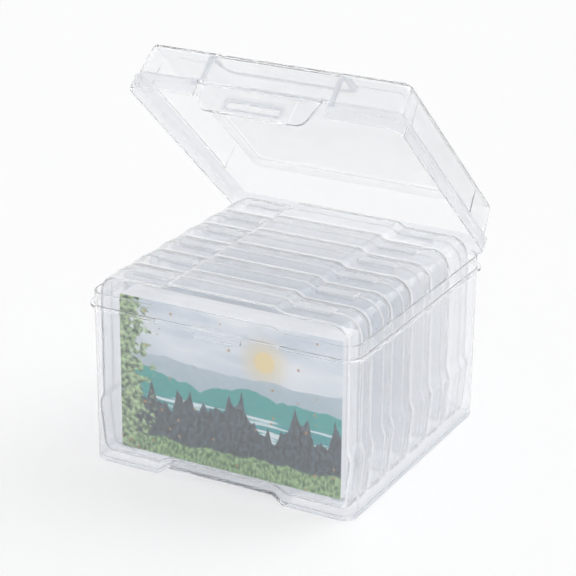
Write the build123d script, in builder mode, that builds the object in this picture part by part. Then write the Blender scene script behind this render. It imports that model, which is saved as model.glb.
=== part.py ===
"""A clear photo keeper case: a deep box with a hinged and latched lid, and six slim photo cases that
stand in it one behind the other. Each photo case is a clamshell of two trays, and the front one holds a
stack of 4 by 6 inch prints. Millimetres, +Z up, front towards -Y, origin at the middle of the box's
underside. The lid stands open."""

import os
from math import radians, tan

from build123d import *

# Prints, which lie upright behind the front case's face
print_width = 152.4
print_height = 101.6
print_thickness = 0.4
stack_thickness = 18.0
print_side_shift = 4.6
print_clearance = 0.3

# Photo cases: outline seen from the front
case_count = 6
case_side_room = 9.8
case_print_room = 17.9
case_end_step = 3.4
case_top_step = 3.0
step_start = 35.0
step_end = 42.0
case_top_radius = 13.0
case_bottom_radius = 5.0
case_bulge = 2.4
bulge_level = 29.4
bulge_rise = 9.0
bulge_taper = 2.6

# Photo cases: depth, walls and the rounded edge round each face
case_thickness = 27.6
case_gap = 0.4
case_wall = 1.2
rim_proud = 0.4
rim_thickness = 1.0
face_round_depth = 5.8
face_side_inset = 2.0
face_top_inset = 1.0
face_bottom_inset = 3.4
face_round = ((0.0, 0.0), (0.7, 0.3), (1.0, 1.0))

# Photo cases: clamshell hinge under them and snap tongues on top
knuckle_radius = 1.8
knuckle_length = 5.6
knuckle_gap = 0.2
knuckle_inner_end = 69.2
knuckle_lift = 0.2
case_pin_radius = 0.8
case_pin_length = 4.0
pin_clearance = 0.06
tongue_width = 25.5
tongue_middle = 55.2
tongue_height = 1.4
tongue_root = 4.0
tongue_reach = 5.0
tongue_lift = 0.15
tongue_relief = 0.5
catch_width = 12.0
catch_depth = 1.2
catch_height = 0.8

# Box
case_show = 14.7
box_wall = 1.4
box_corner_radius = 10.5
wall_draft = 0.25
floor_thickness = 2.0
foot_rise = 5.3
foot_start = 36.0
foot_end = 45.0
foot_edge_bevel = 1.0
case_side_clearance = 0.9
case_floor_clearance = 0.3
front_row_gap = 3.0
row_slack = 11.0
collar_rise = 2.6
collar_depth = 7.8
ledge_overhang = 2.7
ledge_thickness = 1.6
ledge_gap_half = 42.6
ledge_front_overhang = 0.9

# Lid
lid_open_angle = 41.8
lid_wall = 1.2
lid_side_gap = 0.3
lid_end_gap = 0.7
lid_seat_gap = 0.2
lid_head_room = 8.5
skirt_height = 8.6
shoulder_inset = 3.4
shoulder_height = 3.8
shoulder_curve = ((0.0, 0.0), (0.27, 0.16), (0.73, 0.84), (1.0, 1.0))
upper_corner_radius = 5.0
upper_draft = 1.7
top_edge_radius = 1.6
top_edge_curve = ((1.0, 0.0), (0.3, 0.3), (0.0, 1.0))
panel_half_width = 77.0
panel_front = -72.0
panel_back = 70.0
panel_radius = 2.5
panel_rise = 0.5
grip_half_width = 42.0
grip_back = -67.0
grip_radius = 5.0
grip_depth = 0.7
grip_slope = 6.0
recess_depth = 0.5
recess_radius = 4.0
front_recess_half = 45.0
front_recess_top = 4.0
side_recess_front = -70.0
side_recess_back = 51.0
side_recess_top = 8.0

# Lid hinge behind the box
hinge_setback = 4.1
hinge_drop = 1.0
hinge_station = 54.0
hinge_barrel_length = 10.0
hinge_barrel_radius = 2.4
hinge_ear_radius = 2.6
hinge_ear_thickness = 3.0
hinge_ear_gap = 0.3
hinge_pin_radius = 1.2
hinge_arm_depth = 2.6
hinge_arm_root = 1.0

# Front latch
latch_rest_angle = 10.0
latch_setback = 0.4
latch_half_width = 40.0
latch_bottom_half = 35.0
latch_height = 19.0
latch_thickness = 1.4
latch_corner_radius = 5.0
latch_barrel_radius = 1.6
latch_pin_radius = 0.9
latch_pin_reach = 6.6
latch_notch_gap = 4.0
latch_notch_clearance = 0.3
latch_ear_radius = 1.9
latch_ear_length = 3.4
latch_panel_half = 26.0
latch_panel_proud = 0.5
slot_half_width = 17.6
slot_bottom = 3.4
slot_height = 5.2
slot_clearance_side = 1.6
slot_clearance_end = 0.5
catch_reach = 2.6
catch_land = 1.0

# Places worked out from the sizes above
case_half_width = print_width / 2 + case_side_room
case_bottom = foot_rise + floor_thickness + case_floor_clearance + rim_proud
case_top = case_bottom + print_height + case_print_room
case_half_depth = case_thickness / 2
row_depth = case_count * case_thickness + (case_count - 1) * case_gap
inner_half_width = case_half_width + case_bulge + rim_proud + case_side_clearance
inner_half_depth = (row_depth + row_slack) / 2
box_half_width = inner_half_width + box_wall
box_half_depth = inner_half_depth + box_wall
box_height = case_top - case_show
collar_top = box_height + collar_rise
ledge_top = box_height - collar_depth
first_face = -inner_half_depth + front_row_gap
draft_reach = collar_top * tan(radians(wall_draft))

lid_rim = ledge_top + lid_seat_gap
lid_half_width = box_half_width + lid_side_gap + lid_wall
lid_half_depth = box_half_depth + lid_end_gap + lid_wall
lid_shoulder = lid_rim + skirt_height
upper_bottom = lid_shoulder + shoulder_height
lid_top = case_top + lid_head_room + lid_wall
skirt_radius = box_corner_radius + lid_side_gap + lid_wall
hinge_y = box_half_depth + ledge_overhang + hinge_setback
hinge_z = ledge_top - hinge_drop
latch_y = -(lid_half_depth + latch_setback)
latch_z = collar_top + latch_notch_clearance - latch_barrel_radius
notch_top = latch_z + latch_barrel_radius + latch_notch_clearance
slot_level = latch_z - latch_height + slot_bottom
knuckle_level = case_bottom - case_end_step + knuckle_lift
straight_depth = case_half_depth - face_round_depth


def hinged(frame, pivot_y, pivot_z, degrees):
    """The frame turned about the line along X through (pivot_y, pivot_z) in the frame's coordinates."""
    pivot = frame.from_local_coords(Vector(0, pivot_y, pivot_z))
    turned = Plane(origin=pivot, x_dir=frame.x_dir, z_dir=frame.z_dir).rotated((degrees, 0, 0))
    origin = turned.from_local_coords(Vector(0, -pivot_y, -pivot_z))
    return Plane(origin=origin, x_dir=turned.x_dir, z_dir=turned.z_dir)


def front_plane(frame, y):
    """The plane facing the frame's -Y at y, with X to the right and Z up."""
    return Plane(origin=frame.from_local_coords(Vector(0, y, 0)), x_dir=frame.x_dir, z_dir=-frame.y_dir)


def side_plane(frame, x):
    """The plane facing the frame's +X at x, with Y to the right and Z up."""
    return Plane(origin=frame.from_local_coords(Vector(x, 0, 0)), x_dir=frame.y_dir, z_dir=frame.x_dir)


lid_frame = hinged(Plane.XY, hinge_y, hinge_z, -lid_open_angle)
latch_frame = hinged(lid_frame, latch_y, latch_z, -latch_rest_angle)


def case_outline(plane, side_inset, top_inset, bottom_inset):
    """A photo case's outline from the front: stepped above and below, and wider low on its sides."""
    half = case_half_width - side_inset
    top = case_top - top_inset
    bottom = case_bottom + bottom_inset
    top_end = top - case_top_step
    bottom_end = bottom - case_end_step
    top_radius = case_top_radius - side_inset
    low_half = half + case_bulge - bulge_taper
    level = case_bottom + bulge_level
    with BuildSketch(plane) as outline:
        with BuildLine():
            Line((0, bottom), (foot_start, bottom))
            Line((foot_start, bottom), (foot_end, bottom_end))
            Line((foot_end, bottom_end), (low_half - case_bottom_radius, bottom_end))
            RadiusArc(
                (low_half - case_bottom_radius, bottom_end),
                (low_half, bottom_end + case_bottom_radius),
                -case_bottom_radius,
            )
            Line((low_half, bottom_end + case_bottom_radius), (half + case_bulge, level))
            Line((half + case_bulge, level), (half, level + bulge_rise))
            Line((half, level + bulge_rise), (half, top_end - top_radius))
            RadiusArc((half, top_end - top_radius), (half - top_radius, top_end), -top_radius)
            Line((half - top_radius, top_end), (step_end, top_end))
            Line((step_end, top_end), (step_start, top))
            Line((step_start, top), (0, top))
            mirror(about=Plane.YZ)
        make_face()
    return outline.sketch


def tray_sections(outward, depth, wall):
    """The outlines of a tray from its open rim to its face, drawn in round the face."""
    sections = [case_outline(Plane.XZ, wall, wall, wall)]
    for along, inward in face_round:
        level = straight_depth + along * (depth - straight_depth)
        sections.append(
            case_outline(
                Plane.XZ.offset(-outward * level),
                wall + inward * face_side_inset,
                wall + inward * face_top_inset,
                wall + inward * face_bottom_inset,
            )
        )
    return sections


def knuckle(start, length, radius, mode=Mode.ADD):
    """A round bar along X on a clamshell's hinge line, on both sides of the case."""
    for side in (-1, 1):
        with BuildSketch(Plane.YZ.offset(side * start)) as section:
            with Locations((0, knuckle_level)):
                Circle(radius)
        extrude(section.sketch, amount=side * length, mode=mode)


def tongue_pad(start, end, bottom, width, height, mode=Mode.ADD):
    """A flat pad on both sides of a case's top, its start and end measured from the parting plane."""
    for side in (-1, 1):
        with BuildSketch(Plane.XY.offset(bottom)) as pad:
            with Locations((side * tongue_middle, (start + end) / 2)):
                Rectangle(width, end - start)
        extrude(pad.sketch, amount=height, mode=mode)


def case_tray(outward):
    """One tray of a photo case, its parting plane at Y 0. The front one, outward -1, carries the hinge
    pins and the snap tongues."""
    back_start = knuckle_inner_end + knuckle_length + knuckle_gap
    own, other = (knuckle_inner_end, back_start) if outward < 0 else (back_start, knuckle_inner_end)
    top_end = case_top - case_top_step
    tongue_root_level = top_end - case_wall / 2
    with BuildPart() as tray:
        loft(tray_sections(outward, case_half_depth, 0), ruled=True)
        rim = case_outline(Plane.XZ, -rim_proud, -rim_proud, -rim_proud)
        extrude(rim, amount=-outward * rim_thickness)
        loft(tray_sections(outward, case_half_depth - case_wall, case_wall), ruled=True, mode=Mode.SUBTRACT)
        room_length = knuckle_length + 2 * knuckle_gap
        knuckle(other - knuckle_gap, room_length, knuckle_radius + knuckle_gap, Mode.SUBTRACT)
        knuckle(own, knuckle_length, knuckle_radius)
        if outward < 0:
            knuckle(own + knuckle_length, case_pin_length, case_pin_radius)
            tongue_pad(-tongue_root, 0, tongue_root_level, tongue_width, case_wall / 2 + tongue_height)
            tongue_pad(0, tongue_reach, top_end + tongue_lift, tongue_width, tongue_height - tongue_lift)
        else:
            knuckle(own, knuckle_length, case_pin_radius + pin_clearance, Mode.SUBTRACT)
            relief_width = tongue_width + 2 * tongue_relief
            tongue_pad(0, tongue_reach, top_end, relief_width, rim_proud + tongue_lift, Mode.SUBTRACT)
            start = tongue_reach + tongue_lift
            pad_height = case_wall / 2 + catch_height
            tongue_pad(start, start + catch_depth, tongue_root_level, catch_width, pad_height)
    return tray


def box_plate(level, inward, grow=0.0):
    """The box's plan at a level, drawn in by its draft and by inward."""
    draft = (collar_top - level) * tan(radians(wall_draft))
    with BuildSketch(Plane.XY.offset(level)) as plate:
        RectangleRounded(
            2 * (box_half_width - inward - draft + grow),
            2 * (box_half_depth - inward - draft + grow),
            box_corner_radius - inward + grow,
        )
    return plate.sketch


def floor_profile(plane, side_level, middle_level):
    """What lies under a floor that is raised in a band down its middle."""
    reach = box_half_width + ledge_overhang
    with BuildSketch(plane) as profile:
        with BuildLine():
            Polyline(
                (0, middle_level),
                (foot_start, middle_level),
                (foot_end, side_level),
                (reach, side_level),
                (reach, -reach),
                (0, -reach),
            )
            mirror(about=Plane.YZ)
        make_face()
    return profile.sketch


# Box: a drafted tub on two long feet, its collar raised in the front's middle, with a ledge, a catch
# and hinge ears
with BuildPart() as box_hollow:
    loft([box_plate(0, box_wall), box_plate(collar_top, box_wall)], ruled=True)
    back_plane = Plane.XZ.offset(-box_half_depth)
    under_floor = floor_profile(back_plane, floor_thickness, floor_thickness + foot_rise)
    extrude(under_floor, amount=2 * box_half_depth, mode=Mode.SUBTRACT)

with BuildPart() as base_box:
    box_plates = [box_plate(0, foot_edge_bevel), box_plate(foot_edge_bevel, 0), box_plate(collar_top, 0)]
    loft(box_plates, ruled=True)
    extrude(box_plate(ledge_top - ledge_thickness, 0, ledge_overhang), amount=ledge_thickness)
    # The ledge is narrow under the latch
    with BuildSketch(Plane.XY.offset(ledge_top - ledge_thickness)):
        with Locations((0, -box_half_depth - ledge_front_overhang)):
            Rectangle(2 * ledge_gap_half, ledge_overhang, align=(Align.CENTER, Align.MAX))
    extrude(amount=ledge_thickness, mode=Mode.SUBTRACT)
    # The channel between the two feet
    channel = floor_profile(Plane.XZ.offset(-box_half_depth), 0, foot_rise)
    extrude(channel, amount=2 * box_half_depth, mode=Mode.SUBTRACT)
    add(box_hollow.part, mode=Mode.SUBTRACT)
    # The collar's sides and back are lower than the middle of its front
    with BuildSketch(Plane.XY.offset(box_height)):
        with Locations((0, -box_half_depth + 2 * box_corner_radius)):
            Rectangle(2 * box_half_width, 2 * box_half_depth, align=(Align.CENTER, Align.MIN))
    extrude(amount=collar_rise, mode=Mode.SUBTRACT)
    for side in (-1, 1):
        with BuildSketch(Plane.XZ.offset(box_half_depth)):
            with BuildLine():
                Polyline(
                    (side * step_start, collar_top),
                    (side * foot_end, box_height),
                    (side * box_half_width, box_height),
                    (side * box_half_width, collar_top),
                    close=True,
                )
            make_face()
        extrude(amount=-2 * box_corner_radius, mode=Mode.SUBTRACT)
    # The catch that the latch's slot drops over
    with BuildSketch(Plane.YZ.offset(-slot_half_width + slot_clearance_side)):
        with BuildLine():
            low = slot_level + slot_clearance_end
            high = slot_level + slot_height - slot_clearance_end
            Polyline(
                (-box_half_depth + box_wall / 2, low),
                (-box_half_depth - catch_reach, low),
                (-box_half_depth - catch_reach, low + catch_land),
                (-box_half_depth, high),
                (-box_half_depth + box_wall / 2, high),
                close=True,
            )
        make_face()
    extrude(amount=2 * (slot_half_width - slot_clearance_side))
    # Two ears beside each of the lid's hinge barrels
    ear_start = hinge_barrel_length / 2 + hinge_ear_gap
    for station in (-hinge_station, hinge_station):
        for side in (-1, 1):
            with BuildSketch(Plane.YZ.offset(station + side * ear_start)):
                with BuildLine():
                    Polyline(
                        (box_half_depth - box_wall / 2, hinge_z),
                        (hinge_y, hinge_z),
                        (hinge_y, hinge_z - hinge_arm_depth),
                        (box_half_depth + hinge_arm_root, hinge_z - 2 * hinge_arm_depth),
                        (box_half_depth - box_wall / 2, hinge_z - 2 * hinge_arm_depth),
                        close=True,
                    )
                make_face()
                with Locations((hinge_y, hinge_z)):
                    Circle(hinge_ear_radius)
                    Circle(hinge_pin_radius + pin_clearance, mode=Mode.SUBTRACT)
            extrude(amount=side * hinge_ear_thickness)
base_box.part.label = "base_box"


def lid_sections(inward):
    """The lid's plans from rim to top: a skirt, an S shoulder, drafted walls and a rounded top edge."""
    top = lid_top - inward
    sections = [(lid_rim, 0, 0)]
    for up, across in shoulder_curve:
        sections.append((lid_shoulder + up * shoulder_height, across * shoulder_inset, across))
    for down, across in top_edge_curve:
        drawn_in = shoulder_inset + upper_draft + across * top_edge_radius
        sections.append((top - down * top_edge_radius, drawn_in, 1))
    plans = []
    for level, drawn_in, share in sections:
        with BuildSketch(lid_frame.offset(level)) as plan:
            RectangleRounded(
                2 * (lid_half_width - inward - drawn_in),
                2 * (lid_half_depth - inward - drawn_in),
                skirt_radius - inward + share * (upper_corner_radius - skirt_radius),
            )
        plans.append(plan.sketch)
    return plans


def grip_plan(above_top, wider):
    """The grip's plan at a height over the lid's top, wider by a given amount at its sides and back."""
    with BuildSketch(lid_frame.offset(lid_top + above_top)) as plan:
        with Locations((0, grip_back + wider)):
            RectangleRounded(
                2 * (grip_half_width + wider),
                2 * lid_half_depth,
                grip_radius + wider,
                align=(Align.CENTER, Align.MAX),
            )
    return plan.sketch


def wall_recess(outward_x, outward_y, start, end, below_top):
    """Cuts a shallow recess in one of the lid's drafted walls, open at its shoulder."""
    lean = upper_draft / (lid_top - upper_bottom)
    out = lid_frame.x_dir * outward_x + lid_frame.y_dir * outward_y
    half = lid_half_width if outward_x else lid_half_depth
    across = lid_frame.z_dir.cross(out)
    corner = Vector(outward_x, outward_y, 0) * (half - shoulder_inset) + Vector(0, 0, upper_bottom)
    wall = Plane(
        origin=lid_frame.from_local_coords(corner),
        x_dir=across,
        z_dir=(out + lid_frame.z_dir * lean).normalized(),
    )
    with BuildSketch(wall.offset(-recess_depth)) as recess:
        with Locations(((start + end) / 2, 0)):
            Rectangle(end - start, lid_top - upper_bottom - below_top, align=(Align.CENTER, Align.MIN))
        fillet(recess.vertices().group_by(Axis.Y)[-1], recess_radius)
    extrude(recess.sketch, amount=2 * recess_depth, mode=Mode.SUBTRACT)


def hinge_bar(frame, start, length, pivot_y, pivot_z, radius, mode=Mode.ADD):
    """A round bar along X on a hinge line given in the frame's own coordinates."""
    with BuildSketch(side_plane(frame, start)) as bar:
        with Locations((pivot_y, pivot_z)):
            Circle(radius)
    extrude(bar.sketch, amount=length, mode=mode)


# Lid: a shell with a deep skirt, recessed walls and top, bosses for the latch's pins and hinge
# barrels behind
with BuildPart() as lid:
    loft(lid_sections(0), ruled=True)
    # The raised panel on top, and the grip that slopes down from it to the front edge
    with BuildSketch(lid_frame.offset(lid_top)):
        with Locations((0, (panel_front + panel_back) / 2)):
            RectangleRounded(2 * panel_half_width, panel_back - panel_front, panel_radius)
    extrude(amount=panel_rise)
    loft([grip_plan(-grip_depth, 0), grip_plan(panel_rise, grip_slope)], ruled=True, mode=Mode.SUBTRACT)
    wall_recess(0, -1, -front_recess_half, front_recess_half, front_recess_top)
    wall_recess(1, 0, side_recess_front, side_recess_back, side_recess_top)
    wall_recess(-1, 0, -side_recess_back, -side_recess_front, side_recess_top)
    # Bosses for the latch's pins, then the hollow, and the notch that the latch hangs in
    notch_half = latch_half_width + latch_notch_gap
    for side in (-1, 1):
        hinge_bar(lid_frame, side * notch_half, side * latch_ear_length, latch_y, latch_z, latch_ear_radius)
    loft(lid_sections(lid_wall), ruled=True, mode=Mode.SUBTRACT)
    with BuildSketch(lid_frame.offset(lid_rim)):
        with Locations((0, -lid_half_depth)):
            Rectangle(2 * notch_half, 2 * (shoulder_inset + lid_wall))
    extrude(amount=notch_top - lid_rim, mode=Mode.SUBTRACT)
    for side in (-1, 1):
        start = side * notch_half
        length = side * latch_ear_length
        bore_radius = latch_pin_radius + pin_clearance
        hinge_bar(lid_frame, start, length, latch_y, latch_z, bore_radius, Mode.SUBTRACT)
    # Hinge barrels on short arms behind the skirt, with a pin out of each end
    for station in (-hinge_station, hinge_station):
        start = station - hinge_barrel_length / 2
        with BuildSketch(side_plane(lid_frame, start)):
            with BuildLine():
                Polyline(
                    (lid_half_depth - lid_wall / 2, lid_rim),
                    (hinge_y, lid_rim),
                    (hinge_y, hinge_z + hinge_barrel_radius),
                    (lid_half_depth - lid_wall / 2, lid_rim + hinge_arm_depth),
                    close=True,
                )
            make_face()
            with Locations((hinge_y, hinge_z)):
                Circle(hinge_barrel_radius)
        extrude(amount=hinge_barrel_length)
        reach = hinge_ear_gap + hinge_ear_thickness
        pin_length = hinge_barrel_length + 2 * reach
        hinge_bar(lid_frame, start - reach, pin_length, hinge_y, hinge_z, hinge_pin_radius)
lid.part.label = "lid"

# Front latch: a slotted flap that swings on two pins in the lid's notch
with BuildPart() as front_latch:
    with BuildSketch(front_plane(latch_frame, latch_y + latch_thickness / 2)) as flap:
        with BuildLine():
            Polyline(
                (-latch_half_width, latch_z),
                (-latch_bottom_half, latch_z - latch_height),
                (latch_bottom_half, latch_z - latch_height),
                (latch_half_width, latch_z),
                close=True,
            )
        make_face()
        fillet(flap.vertices().group_by(Axis.Y)[0], latch_corner_radius)
    extrude(amount=latch_thickness)
    with BuildSketch(front_plane(latch_frame, latch_y - latch_thickness / 2)):
        with Locations((0, latch_z)):
            Rectangle(2 * latch_panel_half, latch_height, align=(Align.CENTER, Align.MAX))
    extrude(amount=latch_panel_proud)
    with BuildSketch(front_plane(latch_frame, latch_y + latch_thickness / 2)):
        with Locations((0, slot_level)):
            Rectangle(2 * slot_half_width, slot_height, align=(Align.CENTER, Align.MIN))
    extrude(amount=2 * latch_thickness, mode=Mode.SUBTRACT)
    hinge_bar(latch_frame, -latch_half_width, 2 * latch_half_width, latch_y, latch_z, latch_barrel_radius)
    pin_half = latch_half_width + latch_pin_reach
    hinge_bar(latch_frame, -pin_half, 2 * pin_half, latch_y, latch_z, latch_pin_radius)
front_latch.part.label = "front_latch"


def round_share(depth):
    """How far a tray's walls have drawn in at a depth from its rim, as a share of the inset at its face."""
    along = (depth - straight_depth) / (case_half_depth - case_wall - straight_depth)
    for (start, low), (end, high) in zip(face_round, face_round[1:]):
        if along <= end:
            return low + (high - low) * (along - start) / (end - start)
    return 1.0


# Prints: the one that shows, and the rest of the stack behind it, standing on the tray's rounded edge
print_front = first_face + case_wall + print_clearance
print_depth = case_half_depth - case_wall - print_clearance
print_bottom = case_bottom + case_wall + face_bottom_inset * round_share(print_depth) + print_clearance


def print_block(front, thickness):
    """A block of the prints' size, standing upright with its face at front."""
    with BuildPart() as block:
        with BuildSketch(Plane.XZ.offset(-front)):
            with Locations((print_side_shift, print_bottom)):
                Rectangle(print_width, print_height, align=(Align.CENTER, Align.MIN))
        extrude(amount=-thickness)
    return block


photo_print = print_block(print_front, print_thickness)
photo_print.part.label = "photo_print"
print_stack = print_block(print_front + print_thickness, stack_thickness)
print_stack.part.label = "print_stack"

os.makedirs("parts", exist_ok=True)
export_step(base_box.part, "parts/base_box.step")
export_step(lid.part, "parts/lid.step")
export_step(front_latch.part, "parts/front_latch.step")
export_step(photo_print.part, "parts/photo_print.step")
export_step(print_stack.part, "parts/print_stack.step")

# Photo cases, from front to back
front_tray = case_tray(-1)
back_tray = case_tray(1)
for number in range(case_count):
    parting = first_face + case_half_depth + number * (case_thickness + case_gap)
    for side_name, tray in (("front", front_tray), ("back", back_tray)):
        with BuildPart() as case_half:
            with Locations((0, parting, 0)):
                add(tray.part)
        case_half.part.label = f"case_{number + 1}_{side_name}"
        export_step(case_half.part, f"parts/{case_half.part.label}.step")
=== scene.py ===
"""Looks for the clear photo keeper case: smooth moulded pieces, clear plastic, the prints and a
small studio.

The pieces are worked out in millimetres in the part's own frame, the lid's and the latch's as if
the lid were shut, and put into metres when they are made."""

import bmesh
import bpy
import numpy as np
from mathutils import Matrix


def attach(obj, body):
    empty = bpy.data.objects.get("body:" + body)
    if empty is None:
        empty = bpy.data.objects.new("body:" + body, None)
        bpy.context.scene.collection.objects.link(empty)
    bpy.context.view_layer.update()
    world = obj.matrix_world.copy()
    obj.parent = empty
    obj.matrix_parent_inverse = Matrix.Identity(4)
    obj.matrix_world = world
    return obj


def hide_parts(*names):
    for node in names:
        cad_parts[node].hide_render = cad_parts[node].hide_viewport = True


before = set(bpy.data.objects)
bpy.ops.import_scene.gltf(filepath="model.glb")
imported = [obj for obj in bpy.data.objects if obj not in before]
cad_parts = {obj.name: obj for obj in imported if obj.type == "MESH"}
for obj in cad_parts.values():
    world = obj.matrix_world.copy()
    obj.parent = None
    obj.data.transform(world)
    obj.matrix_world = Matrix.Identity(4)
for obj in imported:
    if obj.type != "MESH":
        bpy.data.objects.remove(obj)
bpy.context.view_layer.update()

MM = 0.001
MERGE_DISTANCE, SHARP_ANGLE = 1e-6, np.radians(35)

# Camera: a long lens, turned to the left of the Y axis and tilted down
CAMERA_PLACE = np.array([0.5914, -1.1071, 0.6015])
CAMERA_YAW = np.radians(-28.170)
CAMERA_PITCH = np.radians(21.722)
CAMERA_ROLL = np.radians(0.507)
CAMERA_LENS = 134.85
CAMERA_REACH = 20.0
SENSOR_WIDTH = 36.0

# Studio: the sky's light on matt surfaces, and a wide soft sun that comes from the right and the
# back. The floor glows for the camera by one share, and for rays out of the plastic by the other.
SKY_LIGHT = 0.78
SUN_ENERGY, SUN_SPREAD = 0.9, np.radians(50.0)
SUN_TURN = (np.radians(-35.0), np.radians(35.0), 0.0)
FLOOR_REACH, FLOOR_COLOUR = 6.0, (0.97, 0.972, 0.98)
FLOOR_SEEN, FLOOR_THROUGH = 0.5, 0.3
WHITE = (1.0, 1.0, 1.0)

# Box
BOX_HALF_X, BOX_HALF_Y, BOX_RADIUS = 91.1, 90.7, 10.5
BOX_TOP, BOX_WALL, BOX_DRAFT = 112.8, 1.4, 0.0044
BOX_INNER_LEVEL = 100.0
COLLAR_RISE = 2.6
# Over the rim: (drawn in from the outside, down from the top)
RIM_PROFILE = ((0.0, 0.5), (0.15, 0.15), (0.5, 0.0), (0.9, 0.0), (1.25, 0.15), (BOX_WALL, 0.5))
FLOOR_THICKNESS, FLOOR_RADIUS, FOOT_RADIUS = 2.0, 2.0, 1.6
FOOT_RISE, FOOT_START, FOOT_END = 5.3, 36.0, 45.0
FOOT_LEVEL, PLAIN_LEVEL = 8.0, 30.0
LEDGE_TOP, LEDGE_THICKNESS, LEDGE_OUT = 105.0, 1.6, 2.7
LEDGE_FRONT_OUT, LEDGE_GAP_HALF, LEDGE_STEP = 0.9, 42.6, 0.6
UNDER_LEDGE, OVER_LEDGE = 0.5, 0.4
# Round the ledge: (share of its reach, share of its thickness)
LEDGE_PROFILE = ((0.1, 0.0), (0.9, 0.0), (1.0, 0.12), (1.0, 0.88), (0.9, 1.0), (0.1, 1.0))
CATCH_HALF, CATCH_LOW, CATCH_HIGH, CATCH_OUT, CATCH_LIP = 16.0, 99.0, 103.2, 2.6, 1.0
# Where the box's satin and its painted shade end: up from the underside, and in from the outside
BOX_SATIN_SHADE_RISE, BOX_SATIN_SHADE_DEPTH = (0.8, 2.6), (2.4, 3.4)

# How deep an ear, a catch or a barrel is set into the wall that carries it, and how near a point
# of a ring counts as on its edge
SUNK, TOUCHING = 0.1, 0.01

# Lid and its hinge, as shut
LID_ANGLE = np.radians(41.8)
HINGE_Y, HINGE_Z, HINGE_STATION = 97.5, 104.0, 54.0
EAR_RADIUS, EAR_START, EAR_THICKNESS, EAR_DROP, EAR_FOOT = 2.6, 5.3, 3.0, 5.2, 1.0
BARREL_RADIUS, BARREL_HALF, BARREL_RISE = 2.4, 5.0, 2.6
EAR_ARC, BARREL_ARC = (-60, 180, 20), (150, 450, 24)
HINGE_PIN_RADIUS, HINGE_PIN_END, HINGE_PIN_BEVEL = 1.2, 5.27, 0.02
LID_RIM, LID_HALF_X, LID_HALF_Y, LID_RADIUS = 105.2, 92.6, 92.6, 12.0
LID_WALL, LID_RIM_BEVEL, LID_GRID_REACH = 1.2, 0.3, 82.5
SHOULDER_LOW, SHOULDER_HIGH, SHOULDER_INSET, UNDER_SHOULDER = 113.8, 117.6, 3.4, 0.6
LID_TOP, LID_DRAFT, UPPER_RADIUS, TOP_EDGE = 137.2, 1.7, 5.0, 1.6
NOTCH_HALF, NOTCH_TOP = 44.0, 116.0
PANEL_HALF, PANEL_FRONT, PANEL_BACK, PANEL_RADIUS = 77.0, -72.0, 70.0, 2.5
PANEL_RISE, PANEL_SLOPE = 0.5, 1.2
GRIP_HALF, GRIP_BACK, GRIP_RADIUS, GRIP_DEPTH, GRIP_SLOPE = 42.0, -67.0, 5.0, 0.7, 6.0
STEP_WIDTH = 0.5
RECESS_DEPTH, RECESS_HALF, RECESS_FRONT, RECESS_BACK = 0.5, 45.0, -70.0, 51.0
# Up the lid's upper wall: (level, share of the recess's depth)
RECESS_LEVELS = (
    (SHOULDER_HIGH + 0.5, 1.0),
    (LID_TOP - 8.25, 1.0),
    (LID_TOP - 7.75, 0.4),
    (LID_TOP - 4.25, 0.4),
    (LID_TOP - 3.75, 0.0),
)
# The share of satin, with its painted shade, on the lid's skirt and shoulder
SKIRT_SATIN_SHADE = 0.55
# Where the lid's satin and painted shade fade, from and to: at the shoulder's top and the rim; at the
# foot, the head, the top and the front of the grip's slope; and round, in front of and under the
# recess's borders
SKIRT_FADE, RIM_FADE = (SHOULDER_HIGH - 0.6, SHOULDER_HIGH), (LID_RIM + 0.2, LID_RIM + 0.4)
SLOPE_LOW_FADE, SLOPE_HIGH_FADE = (-0.3, 0.6), (GRIP_SLOPE - 0.6, GRIP_SLOPE + 0.3)
TOP_FADE, SLOPE_FRONT_FADE = (LID_TOP - 2.2, LID_TOP - 2.0), (-84.5, -83.5)
BORDER_FADE, BORDER_FRONT_FADE = (1.6, 2.2), (-84.5, -84.0)
BORDER_LOW_FADE, BORDER_TOP = (SHOULDER_HIGH - 0.3, SHOULDER_HIGH), LID_TOP - 1.7

# Latch, as shut
LATCH_ANGLE = np.radians(10.0)
LATCH_Y, LATCH_Z = -93.0, 114.1
LATCH_HALF, LATCH_LOW_HALF, LATCH_HEIGHT, LATCH_THICKNESS, LATCH_RADIUS = 40.0, 35.0, 19.0, 1.4, 5.0
LATCH_PANEL, LATCH_PROUD, LATCH_STEP = 26.0, 0.5, 0.6
LATCH_BARREL_RADIUS, LATCH_PIN_RADIUS, LATCH_PIN_REACH = 1.6, 0.9, 3.95
BOSS_LENGTH, BOSS_RADIUS = 3.4, 1.9
# The last: where the satin and painted shade round the latch's slot fade, from and to
SLOT_HALF, SLOT_LOW, SLOT_HIGH, SLOT_SATIN_SHADE = 17.6, 98.5, 103.7, (0.1, 2.0)
# The flap's grid lines inside its panel, from its middle out, and on its straight sides
LATCH_X, LATCH_LEVELS = (0.0, 6.0, 12.0, SLOT_HALF, 22.0), (SLOT_LOW, SLOT_HIGH, 109.0, LATCH_Z)

# Photo cases
CASE_COUNT, CASE_PITCH, FIRST_FACE = 6, 28.0, -86.3
CASE_HALF_DEPTH, CASE_WALL = 13.8, 1.2
CASE_HALF_X, CASE_BULGE, BULGE_TAPER = 86.0, 2.4, 2.6
CASE_LOW, CASE_HIGH, BESIDE_MIDDLE = 8.0, 127.5, 18.0
CASE_LOW_STEP, CASE_HIGH_STEP = 3.4, 3.0
TOP_STEP_START, TOP_STEP_END = 35.0, 42.0
CASE_TOP_RADIUS, CASE_LOW_RADIUS = 13.0, 5.0
BULGE_LEVEL, BULGE_RISE = 37.4, 9.0
FACE_ROUND, FACE_SIDE, FACE_TOP, FACE_BOTTOM = 5.8, 2.0, 1.0, 3.4
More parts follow.
